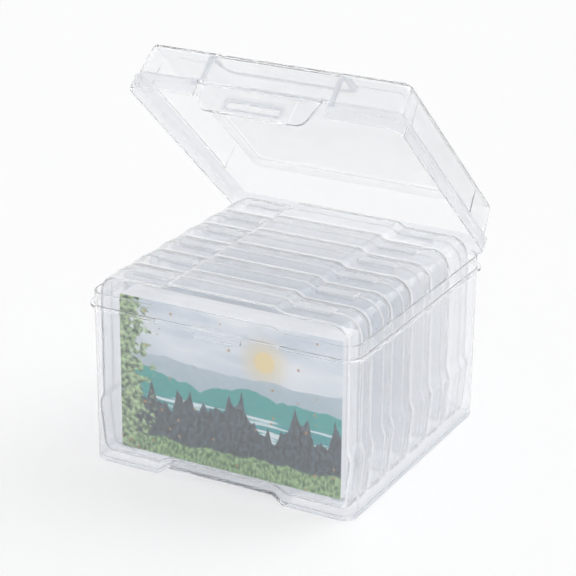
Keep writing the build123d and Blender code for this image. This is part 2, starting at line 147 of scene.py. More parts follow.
# Round a tray's rim, from inside to outside: (drawn in from the outside, away from the parting)
TRAY_RIM_PROFILE = (
    (CASE_WALL, 0.4),
    (CASE_WALL - 0.1, 0.15),
    (CASE_WALL - 0.3, 0.07),
    (-0.2, 0.07),
    (-0.34, 0.14),
    (-0.4, 0.3),
    (-0.4, 0.65),
    (-0.34, 0.85),
    (-0.2, 0.97),
    (0.0, 1.05),
)
# Painted highlights: how near the parting the rim's milk-white faces lie, the milk-white band round the
# face's edge, and how far over the case's step the tongues stay clear
RIM_HIGHLIGHT, EDGE_HIGHLIGHT, HIGHLIGHT_TOP = 0.95, (12.6, 13.6), 1.0
KNUCKLE_LEVEL, KNUCKLE_RADIUS, KNUCKLE_LENGTH = 4.8, 1.8, 5.6
FRONT_KNUCKLE, BACK_KNUCKLE = 69.2, 75.0
CASE_PIN_RADIUS, CASE_PIN_LENGTH = 0.8, 4.0
TONGUE_MIDDLE, TONGUE_WIDTH, TONGUE_REACH = 55.2, 25.5, 5.0
TONGUE_ROOT, TONGUE_SUNK, TONGUE_RISE = 4.0, 0.3, 1.4
STOP_HALF, STOP_GAP, STOP_THICKNESS, STOP_RISE = 6.0, 0.15, 1.2, 0.8

# Prints
PRINT_LEFT, PRINT_RIGHT, PRINT_LOW, PRINT_HIGH = -71.6, 80.8, 12.0, 113.6
PRINT_FRONT, PRINT_THICKNESS, STACK_THICKNESS = -84.8, 0.4, 18.0
PRINT_WIDTH, PRINT_HEIGHT = PRINT_RIGHT - PRINT_LEFT, PRINT_HIGH - PRINT_LOW
SHEET_PITCH, SHEET_THICKNESS, SHEET_SHIFT, PRINT_GAP = 0.3, 0.26, 0.25, 0.04
PAPER_SHADE, PAPER_LIGHT = (0.86, 0.865, 0.88), (0.97, 0.972, 0.98)

# The view on the front print: most paints are a dark and a light shade
SKY_PAINT = (0.86, 0.88, 0.91), (0.66, 0.71, 0.78)
CLOUD_PAINT = (0.93, 0.94, 0.95)
SUN_ACROSS, SUN_UP, WATER_LEVEL = 0.66, 0.76, 0.4
GLOW_PAINT, DISC_PAINT = (0.86, 0.72, 0.46), (0.92, 0.74, 0.38)
FAR_HILL_PAINT = (0.4, 0.5, 0.56), (0.6, 0.68, 0.73)
NEAR_HILL_PAINT = (0.0, 0.27, 0.25), (0.04, 0.5, 0.45)
WATER_PAINT = (0.01, 0.36, 0.37), (0.85, 0.93, 0.95)
FIR_PAINT = (0.004, 0.012, 0.022), (0.07, 0.125, 0.165)
MEADOW_PAINT = (0.04, 0.14, 0.05), (0.42, 0.62, 0.27)
BUSH_PAINT = (0.012, 0.06, 0.025), (0.6, 0.8, 0.42)
LEAF_PAINT = (0.62, 0.42, 0.12), (0.4, 0.13, 0.06)
FIR_COUNT, FIR_POINT = 34.0, 1.6
LEAF_SCALE, LEAF_RADIUS, LEAF_RARENESS, LEAF_COVER = 170.0, 0.17, 0.72, 0.8


# Shapes: numpy surfaces on grids


def smooth_step(value, start, end):
    """0 before start, 1 after end, and 3t2 - 2t3 between them."""
    t = np.clip((value - start) / (end - start), 0.0, 1.0)
    return t * t * (3 - 2 * t)


def within(distance, inner, outer):
    """1 up to inner, 0 past outer, and a smooth step between them."""
    return smooth_step(-distance, -outer, -inner)


def quarter(steps):
    """Angles from 0 to a quarter turn."""
    return np.linspace(0, np.pi / 2, steps)


def both_ways(lines):
    """Grid lines and their mirrors."""
    return np.concatenate([-np.array(lines), lines])


def line_pairs(places, width):
    """Close pairs of grid lines, one pair the width apart at each place."""
    return (np.array(places)[:, None] + [-width / 2, width / 2]).ravel()


def on_side(side, near, far, station=0.0):
    """Where something starts and ends along X that lies from near to far on one side of a station."""
    return sorted((station + side * near, station + side * far))


def quads(rows, columns):
    """The quads between neighbouring rows of a grid whose columns close into a ring."""
    index = np.arange(rows * columns).reshape(rows, columns)
    index = np.hstack([index, index[:, :1]])
    corners = [index[:-1, :-1], index[:-1, 1:], index[1:, 1:], index[1:, :-1]]
    return np.stack(corners, axis=-1).reshape(-1, 4)


def joined(parts):
    """One (points, faces) pair from several."""
    points, faces, count = [], [], 0
    for part_points, part_faces in parts:
        points.append(part_points)
        faces += [[corner + count for corner in face] for face in part_faces]
        count += len(part_points)
    return np.vstack(points), faces


def capped(rings):
    """A closed surface through rings of equal length, an array of ring, point and XYZ, with a flat
    cap at each end."""
    rows, columns = rings.shape[:2]
    faces = quads(rows, columns).tolist()
    faces.append(list(range(columns))[::-1])
    faces.append(list(range((rows - 1) * columns, rows * columns)))
    return rings.reshape(-1, 3), faces


def bar(start, end, y, z, radius, bevel=0.2, steps=24):
    """A round bar along X: circles of the radius about (y, z), drawn in by the bevel at both ends."""
    turn = np.linspace(0, 2 * np.pi, steps, endpoint=False)
    along = np.array([start, start + bevel, end - bevel, end])
    size = np.array([radius - bevel, radius, radius, radius - bevel])
    rings = np.empty((4, steps, 3))
    rings[..., 0] = along[:, None]
    rings[..., 1] = y + size[:, None] * np.cos(turn)
    rings[..., 2] = z + size[:, None] * np.sin(turn)
    return capped(rings)


def soft_box(low, high, bevel=0.25, steps=4):
    """A block with rounded upright edges: rounded rectangles between low and high, drawn in by the
    bevel at both ends."""
    low, high = np.array(low, float), np.array(high, float)
    middle, half = (low + high) / 2, (high - low) / 2
    edge_radius = bevel * 1.6
    turn = (np.arange(4 * steps) // steps) * np.pi / 2 + np.tile(quarter(steps), 4)
    side_x = np.repeat([1, -1, -1, 1], steps)
    side_y = np.repeat([1, 1, -1, -1], steps)
    rings = []
    for level, inset in ((low[2], bevel), (low[2] + bevel, 0), (high[2] - bevel, 0), (high[2], bevel)):
        radius = edge_radius - inset
        x = middle[0] + side_x * (half[0] - edge_radius) + radius * np.cos(turn)
        y = middle[1] + side_y * (half[1] - edge_radius) + radius * np.sin(turn)
        rings.append(np.stack([x, y, np.full_like(x, level)], axis=-1))
    return capped(np.array(rings))


def prism(outline, start, end):
    """A solid between X start and end whose outline is a list of (y, z)."""
    outline = np.array(outline, float)
    rings = np.empty((2, len(outline), 3))
    rings[..., 0] = np.array([start, end])[:, None]
    rings[..., 1:] = outline
    return capped(rings)


def s_curve(start, end, steps=8):
    """Points from start to end, level at both ends, without the first one."""
    t = np.linspace(0, 1, steps + 1)[1:]
    along = start[0] + (end[0] - start[0]) * t
    return np.column_stack([along, start[1] + (end[1] - start[1]) * smooth_step(t, 0, 1)])


def arc_points(centre, radius, start, end, steps=8):
    """Points on an arc between two angles in degrees."""
    turn = np.radians(np.linspace(start, end, steps + 1))
    return np.column_stack([centre[0] + radius * np.cos(turn), centre[1] + radius * np.sin(turn)])


def plan_ring(half_x, half_y, radius, x_lines, y_lines, arc=7):
    """Points round a rounded rectangle, anticlockwise from its front left: the front and back at
    x_lines, the sides at y_lines, and arc points on each corner."""
    turn = quarter(arc + 2)[1:-1]
    back = x_lines[::-1]
    left = y_lines[::-1]
    corner_x, corner_y = half_x - radius, half_y - radius
    parts = [
        (x_lines, np.full_like(x_lines, -half_y)),
        (corner_x + radius * np.sin(turn), -corner_y - radius * np.cos(turn)),
        (np.full_like(y_lines, half_x), y_lines),
        (corner_x + radius * np.cos(turn), corner_y + radius * np.sin(turn)),
        (back, np.full_like(back, half_y)),
        (-corner_x - radius * np.sin(turn), corner_y + radius * np.cos(turn)),
        (np.full_like(left, -half_x), left),
        (-corner_x - radius * np.cos(turn), -corner_y - radius * np.sin(turn)),
    ]
    return np.vstack([np.stack(part, axis=-1) for part in parts])


def plan_sheet(ring, level, x_lines, y_lines, arc=7):
    """A floor or top inside a ring from plan_ring: a grid on the lines, strips out to the ring, and
    a fan in each corner. level gives Z from X and Y."""
    nx, ny = len(x_lines), len(y_lines)
    grid_x, grid_y = np.meshgrid(x_lines, y_lines, indexing="ij")
    inside = np.stack([grid_x, grid_y], axis=-1).reshape(-1, 2)
    points = np.vstack([ring, np.column_stack([inside, level(inside[:, 0], inside[:, 1])])])
    index = len(ring) + np.arange(nx * ny).reshape(nx, ny)
    edges = [index[:, 0], index[-1, :], index[::-1, -1], index[0, ::-1]]
    corners = [index[:-1, :-1], index[1:, :-1], index[1:, 1:], index[:-1, 1:]]
    faces = np.stack(corners, axis=-1).reshape(-1, 4).tolist()
    start = 0
    for edge in edges:
        outer = start + np.arange(len(edge))
        faces += np.stack([outer[:-1], outer[1:], edge[1:], edge[:-1]], axis=-1).tolist()
        fan = (start + len(edge) - 1 + np.arange(arc + 2)) % len(ring)
        faces += np.stack([fan[:-1], fan[1:], np.full(arc + 1, edge[-1])], axis=-1).tolist()
        start += len(edge) + arc
    return points, faces


def tub(rings, x_lines, y_lines, first_level, last_level):
    """A thin tub: a surface through rings from plan_ring, with a sheet inside the first ring and
    the last one."""
    rows, columns = rings.shape[:2]
    first_points, first_faces = plan_sheet(rings[0], first_level, x_lines, y_lines)
    return joined(
        [
            (rings.reshape(-1, 3), quads(rows, columns).tolist()),
            (first_points, [face[::-1] for face in first_faces]),
            plan_sheet(rings[-1], last_level, x_lines, y_lines),
        ]
    )


def grid_plate(front, back, kept):
    """A plate between two grids of points: the cells that are kept on both, and walls along every
    edge that only one kept cell has."""
    rows, columns = front.shape[:2]
    count = rows * columns
    index = np.arange(count).reshape(rows, columns)
    corners = [index[:-1, :-1], index[:-1, 1:], index[1:, 1:], index[1:, :-1]]
    cells = np.stack(corners, axis=-1)[kept]
    edges = np.concatenate([cells[:, [0, 1]], cells[:, [1, 2]], cells[:, [2, 3]], cells[:, [3, 0]]])
    key = np.sort(edges, axis=1) @ np.array([count, 1])
    _, first, shared = np.unique(key, return_index=True, return_counts=True)
    start, end = edges[first[shared == 1]].T
    walls = np.column_stack([end, start, start + count, end + count])
    faces = cells.tolist() + (cells[:, ::-1] + count).tolist() + walls.tolist()
    return np.vstack([front.reshape(-1, 3), back.reshape(-1, 3)]), faces


def placed(name, data):
    """A new object in the scene that holds a mesh, a light or a camera."""
    made = bpy.data.objects.new(name, data)
    bpy.context.scene.collection.objects.link(made)
    return made


def piece(name, shape, body, nodes, material, matrix=None, satin_and_shade=None, painted_highlight=None):
    """A finished piece from (points, faces) in millimetres: doubles merged, faces outwards, edges
    over 35 degrees kept sharp, flat faces kept flat by weighted normals. The next to last argument
    gives, from points as given, the attribute where satin roughness and painted shade go, and the
    last says from the middles of faces which take the milk-white plastic that paints highlights."""
    points, faces = shape
    mesh = bpy.data.meshes.new(name)
    mesh.from_pydata((np.array(points, float) * MM).tolist(), [], faces)
    build = bmesh.new()
    build.from_mesh(mesh)
    bmesh.ops.remove_doubles(build, verts=build.verts, dist=MERGE_DISTANCE)
    bmesh.ops.recalc_face_normals(build, faces=build.faces)
    build.to_mesh(mesh)
    build.free()
    if satin_and_shade is not None:
        place = np.empty(3 * len(mesh.vertices))
        mesh.vertices.foreach_get("co", place)
        share = mesh.attributes.new("satin_and_shade", "FLOAT", "POINT")
        share.data.foreach_set("value", satin_and_shade(place.reshape(-1, 3) / MM).astype(np.float32))
    if matrix is not None:
        mesh.transform(Matrix(matrix.tolist()))
    mesh.shade_smooth()
    mesh.set_sharp_from_angle(angle=SHARP_ANGLE)
    mesh.materials.append(material)
    if painted_highlight is not None:
        middles = np.empty(3 * len(mesh.polygons))
        mesh.polygons.foreach_get("center", middles)
        chosen = painted_highlight(middles.reshape(-1, 3) / MM).astype(np.int32)
        mesh.materials.append(painted_highlight_plastic)
        mesh.polygons.foreach_set("material_index", chosen)
    made = placed(name, mesh)
    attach(made, body)
    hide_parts(*nodes)
    weighted = made.modifiers.new("flat_faces", "WEIGHTED_NORMAL")
    weighted.keep_sharp = True
    return made


def turned_about(y, z, angle):
    """The matrix, in metres, of a turn by the angle about the line along X through (y, z)."""
    cos, sin = np.cos(angle), np.sin(angle)
    matrix = np.eye(4)
    matrix[1:3, 1:3] = [[cos, -sin], [sin, cos]]
    matrix[1:3, 3] = np.array([y, z]) * MM - matrix[1:3, 1:3] @ (np.array([y, z]) * MM)
    return matrix


# Finishes


class Nodes:
    """Builds the nodes of one tree. A value is a number, a colour, or the socket that feeds it."""

    def __init__(self, tree):
        self.tree = tree

    def put(self, socket, value):
        """Gives a socket a number, a colour or a link."""
        if isinstance(value, bpy.types.NodeSocket):
            self.tree.links.new(value, socket)
        else:
            socket.default_value = (*value, 1.0) if isinstance(value, tuple) else value

    def add(self, kind, values=None, **settings):
        """A new node with its own settings, and with values for its inputs by name or number."""
        node = self.tree.nodes.new(kind)
        for setting, choice in settings.items():
            setattr(node, setting, choice)
        for place, value in (values or {}).items():
            self.put(node.inputs[place], value)
        return node

    def math(self, operation, *values, clamp=False):
        """The output of a Math node."""
        inputs = dict(enumerate(values))
        return self.add("ShaderNodeMath", inputs, operation=operation, use_clamp=clamp).outputs["Value"]

    def between(self, share, first, second, blend_type="MIX"):
        """A colour between two others."""
        inputs = {"Factor": share, "A": first, "B": second}
        node = self.add("ShaderNodeMix", inputs, data_type="RGBA", blend_type=blend_type)
        return node.outputs["Result"]

    def noise(self, place, scale, detail):
        """Noise about 0.5 at a place."""
        inputs = {"Vector": place, "Scale": scale, "Detail": detail}
        return self.add("ShaderNodeTexNoise", inputs).outputs["Fac"]

    def own_place(self):
        """The piece's own coordinates in metres."""
        return self.add("ShaderNodeTexCoord").outputs["Object"]

    def split(self, vector):
        """The X, Y and Z outputs of a vector."""
        return self.add("ShaderNodeSeparateXYZ", {"Vector": vector}).outputs


def new_material(name):
    """A material with only its output, the builder of its nodes, and its surface socket."""
    material = bpy.data.materials.new(name)
    material.use_nodes = True
    material.node_tree.nodes.clear()
    nodes = Nodes(material.node_tree)
    return material, nodes, nodes.add("ShaderNodeOutputMaterial").inputs["Surface"]


def new_group(name, inputs, outputs):
    """A node group from the usual values of its inputs and the kinds of its outputs, the builder of
    its nodes, what it is given, and where its results go."""
    group = bpy.data.node_groups.new(name, "ShaderNodeTree")
    for input_name, value in inputs.items():
        coloured = isinstance(value, tuple)
        kind = "NodeSocketColor" if coloured else "NodeSocketFloat"
        socket = group.interface.new_socket(input_name, in_out="INPUT", socket_type=kind)
        socket.default_value = (*value, 1.0) if coloured else value
    for output_name, kind in outputs.items():
        group.interface.new_socket(output_name, in_out="OUTPUT", socket_type=kind)
    nodes = Nodes(group)
    return group, nodes, nodes.add("NodeGroupInput").outputs, nodes.add("NodeGroupOutput").inputs


def moulded_surface():
    """A node group for moulded plastic: its tint and roughness with fine wear, and the slow ripple of
    the mould as a height. Where the piece's attribute for satin and painted shade is 1, the roughness
    turns satin and the tint turns darker, which is painted shade."""
    inputs = {
        "Tint": WHITE,
        "Painted Shade Tint": WHITE,
        "Roughness": 0.03,
        "Satin Roughness": 0.22,
        "Wear": 0.03,
        "Grain": 900.0,
        "Flow": 28.0,
    }
    outputs = {"Color": "NodeSocketColor", "Roughness": "NodeSocketFloat", "Height": "NodeSocketFloat"}
    group, nodes, given, result = new_group("moulded_surface", inputs, outputs)
    place = nodes.own_place()
    satin_and_shade = nodes.add("ShaderNodeAttribute", attribute_name="satin_and_shade").outputs["Fac"]
    wear = nodes.noise(place, given["Grain"], 3.0)
    roughness = nodes.math("MULTIPLY_ADD", wear, given["Wear"], given["Roughness"])
    roughness = nodes.math("MULTIPLY_ADD", satin_and_shade, given["Satin Roughness"], roughness)
    # Painted shade: the tint is multiplied by the darker tint where the attribute for satin and shade
    # is 1
    nodes.put(result["Color"], nodes.between(satin_and_shade, given["Tint"], given["Painted Shade Tint"], "MULTIPLY"))
    nodes.put(result["Roughness"], roughness)
    nodes.put(result["Height"], nodes.noise(place, given["Flow"], 1.0))
    return group


MOULDED = moulded_surface()
EDGE_START = 0.55
BLOOM_ROUGHNESS = 0.4
FLOW_STRENGTH, FLOW_HEIGHT = 0.05, 0.0004


def clear_plastic(name, facing_tint, edge_tint, painted_shade_tint, clear_share, index, roughness, bloom):
    """Clear moulded plastic: glass that greys towards its edges, with satin parts whose darker tint is
    painted shade, and a bloom of sheen. The share that isn't clear is milk-white."""
    material, nodes, surface = new_material(name)
    facing = nodes.add("ShaderNodeLayerWeight").outputs["Facing"]
    tint = nodes.add("ShaderNodeValToRGB", {"Fac": facing})
    start, end = tint.color_ramp.elements
    start.position, start.color = EDGE_START, (*facing_tint, 1.0)
    end.position, end.color = 1.0, (*edge_tint, 1.0)
    look = {"Tint": tint.outputs["Color"], "Painted Shade Tint": painted_shade_tint, "Roughness": roughness}
    moulded = nodes.add("ShaderNodeGroup", look, node_tree=MOULDED).outputs
    ripple = {"Strength": FLOW_STRENGTH, "Distance": FLOW_HEIGHT, "Height": moulded["Height"]}
    plastic = {
        "Base Color": moulded["Color"],
        "Roughness": moulded["Roughness"],
        "Normal": nodes.add("ShaderNodeBump", ripple).outputs["Normal"],
        "Transmission Weight": clear_share,
        "IOR": index,
        "Sheen Weight": bloom,
        "Sheen Roughness": BLOOM_ROUGHNESS,
    }
    nodes.put(surface, nodes.add("ShaderNodeBsdfPrincipled", plastic).outputs["BSDF"])
    return material


# Each plastic's darker tint for its satin parts is painted shade
case_plastic = clear_plastic(
    "case_plastic",
    facing_tint=(0.962, 0.97, 0.981),
    edge_tint=(0.9, 0.915, 0.94),
    painted_shade_tint=(0.9, 0.91, 0.93),
    clear_share=0.95,
    index=1.4,
    roughness=0.11,
    bloom=0.3,
)
# Milk-white plastic: painted highlights on the trays' rims and round the edges of their faces
painted_highlight_plastic = clear_plastic(
    "painted_highlight_plastic",
    facing_tint=(0.98, 0.983, 0.99),
    edge_tint=(0.95, 0.96, 0.975),
    painted_shade_tint=(0.9, 0.91, 0.93),
    clear_share=0.45,
    index=1.3,
    roughness=0.2,
    bloom=0.3,
)
box_plastic = clear_plastic(
    "box_plastic",
    facing_tint=(0.982, 0.986, 0.992),
    edge_tint=(0.8, 0.82, 0.86),
    painted_shade_tint=(0.8, 0.82, 0.855),
    clear_share=0.98,
    index=1.3,
    roughness=0.1,
    bloom=0.1,
)
lid_plastic = clear_plastic(
    "lid_plastic",
    facing_tint=(0.985, 0.988, 0.993),
    edge_tint=(0.84, 0.86, 0.89),
    painted_shade_tint=(0.82, 0.84, 0.87),
    clear_share=0.972,
    index=1.34,
    roughness=0.15,
    bloom=0.15,
)


class Picture(Nodes):
    """Builds a drawn picture from how far across and up the print a point is, 0 to 1 each way."""

    def __init__(self, tree, place, given):
        super().__init__(tree)
        self.place = place
        axes = self.split(place)
        self.across = self.share(axes["X"], given["Left"], given["Width"])
        self.up = self.share(axes["Z"], given["Low"], given["Height"])

    def share(self, value, start, length):
        """How far along a length a value is from its start."""
        return self.math("DIVIDE", self.math("SUBTRACT", value, start), length)

    def grain(self, stretch_across, stretch_up, seed, detail):
        """Noise about 0.5, stretched across and up the print."""
        x = self.math("MULTIPLY", self.across, stretch_across)
        y = self.math("MULTIPLY", self.up, stretch_up)
        place = self.add("ShaderNodeCombineXYZ", {"X": x, "Y": y, "Z": seed})
        return self.noise(place.outputs["Vector"], 1.0, detail)

    def sharper(self, grain, gain, lift):
        """The grain times the gain, plus the lift, between 0 and 1."""
        return self.math("MULTIPLY_ADD", grain, gain, lift, clamp=True)

    def below(self, edge, softness):
        """1 below an edge line and 0 above it, blurred over the softness."""
        return self.sharper(self.math("SUBTRACT", edge, self.up), 1.0 / softness, 0.5)

    def ridge(self, level, height, spacing, seed, detail):
        """A rolling line across the print about a level."""
        grain = self.grain(spacing, 0.0, seed, detail)
        return self.math("MULTIPLY_ADD", grain, height, level - height / 2)


def sky_view(draw):
    """A sky that deepens upwards, with clouds and a low sun in its glow."""
    colour = draw.between(draw.up, *SKY_PAINT)
    clouds = draw.sharper(draw.grain(3.0, 8.0, seed=1.3, detail=5.0), gain=3.4, lift=-1.3)
    colour = draw.between(clouds, colour, CLOUD_PAINT)
    gap_x = draw.math("SUBTRACT", draw.across, SUN_ACROSS)
    gap_z = draw.math("MULTIPLY", draw.math("SUBTRACT", draw.up, SUN_UP), PRINT_HEIGHT / PRINT_WIDTH)
    squared = draw.math("MULTIPLY_ADD", gap_x, gap_x, draw.math("MULTIPLY", gap_z, gap_z))
    away = draw.math("SQRT", squared)
    colour = draw.between(draw.sharper(away, gain=-9.0, lift=1.1), colour, GLOW_PAINT)
    return draw.between(draw.sharper(away, gain=-90.0, lift=4.4), colour, DISC_PAINT)


def hills_and_water(draw, colour):
    """Far and near hills over what is behind them, then the lake with its glints."""
    grain = draw.grain(26.0, 26.0, seed=5.1, detail=4.0)
    far = draw.ridge(0.64, height=0.2, spacing=3.1, seed=2.0, detail=3.0)
    colour = draw.between(draw.below(far, 0.01), colour, draw.between(grain, *FAR_HILL_PAINT))
    near = draw.ridge(0.53, height=0.3, spacing=4.3, seed=9.0, detail=4.0)
    colour = draw.between(draw.below(near, 0.008), colour, draw.between(grain, *NEAR_HILL_PAINT))
    glints = draw.sharper(draw.grain(6.0, 46.0, seed=3.7, detail=2.0), gain=9.0, lift=-4.4)
    return draw.between(draw.below(WATER_LEVEL, 0.006), colour, draw.between(glints, *WATER_PAINT))


def firs(draw, colour):
    """A saw of tree tips on a rolling line, over what is behind them."""
    saw = draw.math("PINGPONG", draw.math("MULTIPLY", draw.across, FIR_COUNT), 1.0)
    height = draw.ridge(0.1, height=0.22, spacing=17.0, seed=4.4, detail=0.0)
    tips = draw.math("MULTIPLY", draw.math("POWER", saw, FIR_POINT), height)
    ground = draw.ridge(0.36, height=0.7, spacing=5.2, seed=6.1, detail=4.0)
    ragged = draw.ridge(0.0, height=0.05, spacing=90.0, seed=2.2, detail=2.0)
    edge = draw.math("ADD", draw.math("ADD", tips, ground), ragged)
    boughs = draw.sharper(draw.grain(70.0, 26.0, seed=8.8, detail=4.0), gain=3.0, lift=-1.1)
    return draw.between(draw.below(edge, 0.01), colour, draw.between(boughs, *FIR_PAINT))


def meadow_and_bush(draw, colour):
    """A meadow along the bottom, and a leafy bush down the left side."""
    blades = draw.sharper(draw.grain(90.0, 34.0, seed=7.7, detail=4.0), gain=3.2, lift=-1.1)
    meadow = draw.ridge(0.12, height=0.16, spacing=6.0, seed=3.3, detail=4.0)
    colour = draw.between(draw.below(meadow, 0.012), colour, draw.between(blades, *MEADOW_PAINT))
    reach = draw.ridge(0.11, height=0.16, spacing=0.0, seed=0.0, detail=0.0)
    inside = draw.math("MULTIPLY", draw.math("SUBTRACT", reach, draw.across), 9.0)
    ragged = draw.math("MULTIPLY_ADD", draw.grain(30.0, 22.0, seed=1.9, detail=4.0), 4.0, -1.9)
    bush = draw.sharper(draw.math("ADD", inside, ragged), gain=3.0, lift=0.0)
    leaves = draw.sharper(draw.grain(46.0, 34.0, seed=4.9, detail=4.0), gain=3.2, lift=-1.15)
    return draw.between(bush, colour, draw.between(leaves, *BUSH_PAINT))


def loose_leaves(draw, colour):
    """Leaves in the wind, gold to rust: the middles of a few of the cells of a Voronoi pattern."""
    cells = draw.add("ShaderNodeTexVoronoi", {"Vector": draw.place, "Scale": LEAF_SCALE}).outputs
    chance = draw.add("ShaderNodeSeparateColor", {"Color": cells["Color"]}).outputs
    in_middle = draw.math("LESS_THAN", cells["Distance"], LEAF_RADIUS)
    chosen = draw.math("GREATER_THAN", chance["Red"], LEAF_RARENESS)
    leaf = draw.math("MULTIPLY", in_middle, chosen)
    paint = draw.between(chance["Green"], *LEAF_PAINT)
    return draw.between(draw.math("MULTIPLY", leaf, LEAF_COVER), colour, paint)


def lake_picture():
    """A node group that draws a made-up view of a lake on the front print."""
    inputs = {"Left": 0.0, "Low": 0.0, "Width": 1.0, "Height": 1.0}
    group, nodes, given, result = new_group("lake_picture", inputs, {"Color": "NodeSocketColor"})
    draw = Picture(group, nodes.own_place(), given)
    colour = sky_view(draw)
    for layer in (hills_and_water, firs, meadow_and_bush, loose_leaves):
        colour = layer(draw, colour)
    nodes.put(result["Color"], colour)
    return group


def paper_grain():
    """A node group for paper: a pale tone that changes from sheet to sheet, and its tooth."""
    outputs = {"Color": "NodeSocketColor", "Height": "NodeSocketFloat"}
    inputs = {"Sheet": 0.0003, "Grain": 1500.0}
    group, nodes, given, result = new_group("paper_grain", inputs, outputs)
    place = nodes.own_place()
    sheet = nodes.math("FLOOR", nodes.math("DIVIDE", nodes.split(place)["Y"], given["Sheet"]))
    chance = nodes.add("ShaderNodeTexWhiteNoise", noise_dimensions="1D")
    nodes.put(chance.inputs["W"], sheet)
    nodes.put(result["Color"], nodes.between(chance.outputs["Value"], PAPER_SHADE, PAPER_LIGHT))
    nodes.put(result["Height"], nodes.noise(place, given["Grain"], 2.0))
    return group


PAPER = paper_grain()
LAKE = lake_picture()
TOOTH_STRENGTH, TOOTH_HEIGHT = 0.1, 0.00005
FRONT_NORMAL = -0.5


def printed_colour(nodes, plain):
    """The picture on faces that look to the front, and the plain paper's colour on the others."""
    edges = {"Left": PRINT_LEFT, "Low": PRINT_LOW, "Width": PRINT_WIDTH, "Height": PRINT_HEIGHT}
    inputs = {name: value * MM for name, value in edges.items()}
    picture = nodes.add("ShaderNodeGroup", inputs, node_tree=LAKE).outputs["Color"]
    normal = nodes.add("ShaderNodeTexCoord").outputs["Normal"]
    on_front = nodes.math("LESS_THAN", nodes.split(normal)["Y"], FRONT_NORMAL)
    return nodes.between(on_front, plain, picture)


def paper_material(name, sheet, roughness, printed):
    """Print paper: pale and satin, with the picture on its front where it is printed."""
    material, nodes, surface = new_material(name)
    grain = nodes.add("ShaderNodeGroup", {"Sheet": sheet * MM}, node_tree=PAPER).outputs
    tooth = {"Strength": TOOTH_STRENGTH, "Distance": TOOTH_HEIGHT, "Height": grain["Height"]}
    paper = {
        "Base Color": printed_colour(nodes, grain["Color"]) if printed else grain["Color"],
        "Roughness": roughness,
        "Normal": nodes.add("ShaderNodeBump", tooth).outputs["Normal"],
    }
    nodes.put(surface, nodes.add("ShaderNodeBsdfPrincipled", paper).outputs["BSDF"])
    return material


print_paper = paper_material("print_paper", PRINT_THICKNESS, 0.35, printed=True)
stack_paper = paper_material("stack_paper", SHEET_PITCH, 0.6, printed=False)


# Box

BOX_STEPS = np.arange(TOP_STEP_START, FOOT_END + 0.5, 1.25)
BOX_FLAT_X, BOX_FLAT_Y = BOX_HALF_X - BOX_RADIUS, BOX_HALF_Y - BOX_RADIUS
BOX_X = np.unique(
    np.concatenate(
        [
            np.linspace(-BOX_FLAT_X, BOX_FLAT_X, 15),
            both_ways(BOX_STEPS),
            both_ways(line_pairs([LEDGE_GAP_HALF], LEDGE_STEP)),
        ]
    )
)
BOX_Y = np.linspace(-BOX_FLAT_Y, BOX_FLAT_Y, 13)


def foot_raise(x):
    """How far the box's underside is raised at x: the channel between its feet."""
    return FOOT_RISE * within(np.abs(x), FOOT_START, FOOT_END)


def box_ring(inset, level, foot_share=0.0, collar_share=0.0, ledge_share=0.0):
    """The box's plan drawn in by inset at a level. foot_share lifts it over the channel between the
    feet, collar_share lifts its front middle, and ledge_share widens it to the ledge, whose front
    middle is set back."""
    draft = BOX_DRAFT * (BOX_TOP - level)
    grown = ledge_share * LEDGE_OUT - inset - draft
    ring = plan_ring(BOX_HALF_X + grown, BOX_HALF_Y + grown, BOX_RADIUS + grown, BOX_X, BOX_Y)
    x, y = ring.T
    front = y < -BOX_FLAT_Y
    gap = within(np.abs(x), LEDGE_GAP_HALF - LEDGE_STEP / 2, LEDGE_GAP_HALF + LEDGE_STEP / 2)
    y = y + ledge_share * (LEDGE_OUT - LEDGE_FRONT_OUT) * front * gap
    collar = COLLAR_RISE * front * within(np.abs(x), TOP_STEP_START, FOOT_END)
    return np.column_stack([x, y, level + foot_share * foot_raise(x) + collar_share * collar])


def box_shell():
    """The box's wall and floor: its underside, rounded foot edge, outer wall, ledge, collar and
    rim, then down the inner wall to the floor."""
    ledge_low = LEDGE_TOP - LEDGE_THICKNESS
    rings = []
    for turn in quarter(5):
        rings.append(box_ring(FOOT_RADIUS * (1 - np.sin(turn)), FOOT_RADIUS * (1 - np.cos(turn)), 1.0))
    rings.append(box_ring(0, FOOT_LEVEL, 1.0))
    rings.append(box_ring(0, PLAIN_LEVEL))
    rings.append(box_ring(0, ledge_low - UNDER_LEDGE))
    for out, up in LEDGE_PROFILE:
        rings.append(box_ring(0, ledge_low + up * LEDGE_THICKNESS, ledge_share=out))
    rings.append(box_ring(0, LEDGE_TOP + OVER_LEDGE))
    for inset, down in RIM_PROFILE:
        rings.append(box_ring(inset, BOX_TOP - down, collar_share=1.0))
    rings.append(box_ring(BOX_WALL, BOX_INNER_LEVEL))
    rings.append(box_ring(BOX_WALL, PLAIN_LEVEL))
    rings.append(box_ring(BOX_WALL, FOOT_LEVEL + FLOOR_THICKNESS, 1.0))
    for turn in quarter(4):
        inset = BOX_WALL + FLOOR_RADIUS * (1 - np.cos(turn))
        rings.append(box_ring(inset, FLOOR_THICKNESS + FLOOR_RADIUS * (1 - np.sin(turn)), 1.0))
    return tub(
        np.array(rings),
        BOX_X,
        BOX_Y,
        lambda x, y: foot_raise(x),
        lambda x, y: FLOOR_THICKNESS + foot_raise(x),
    )


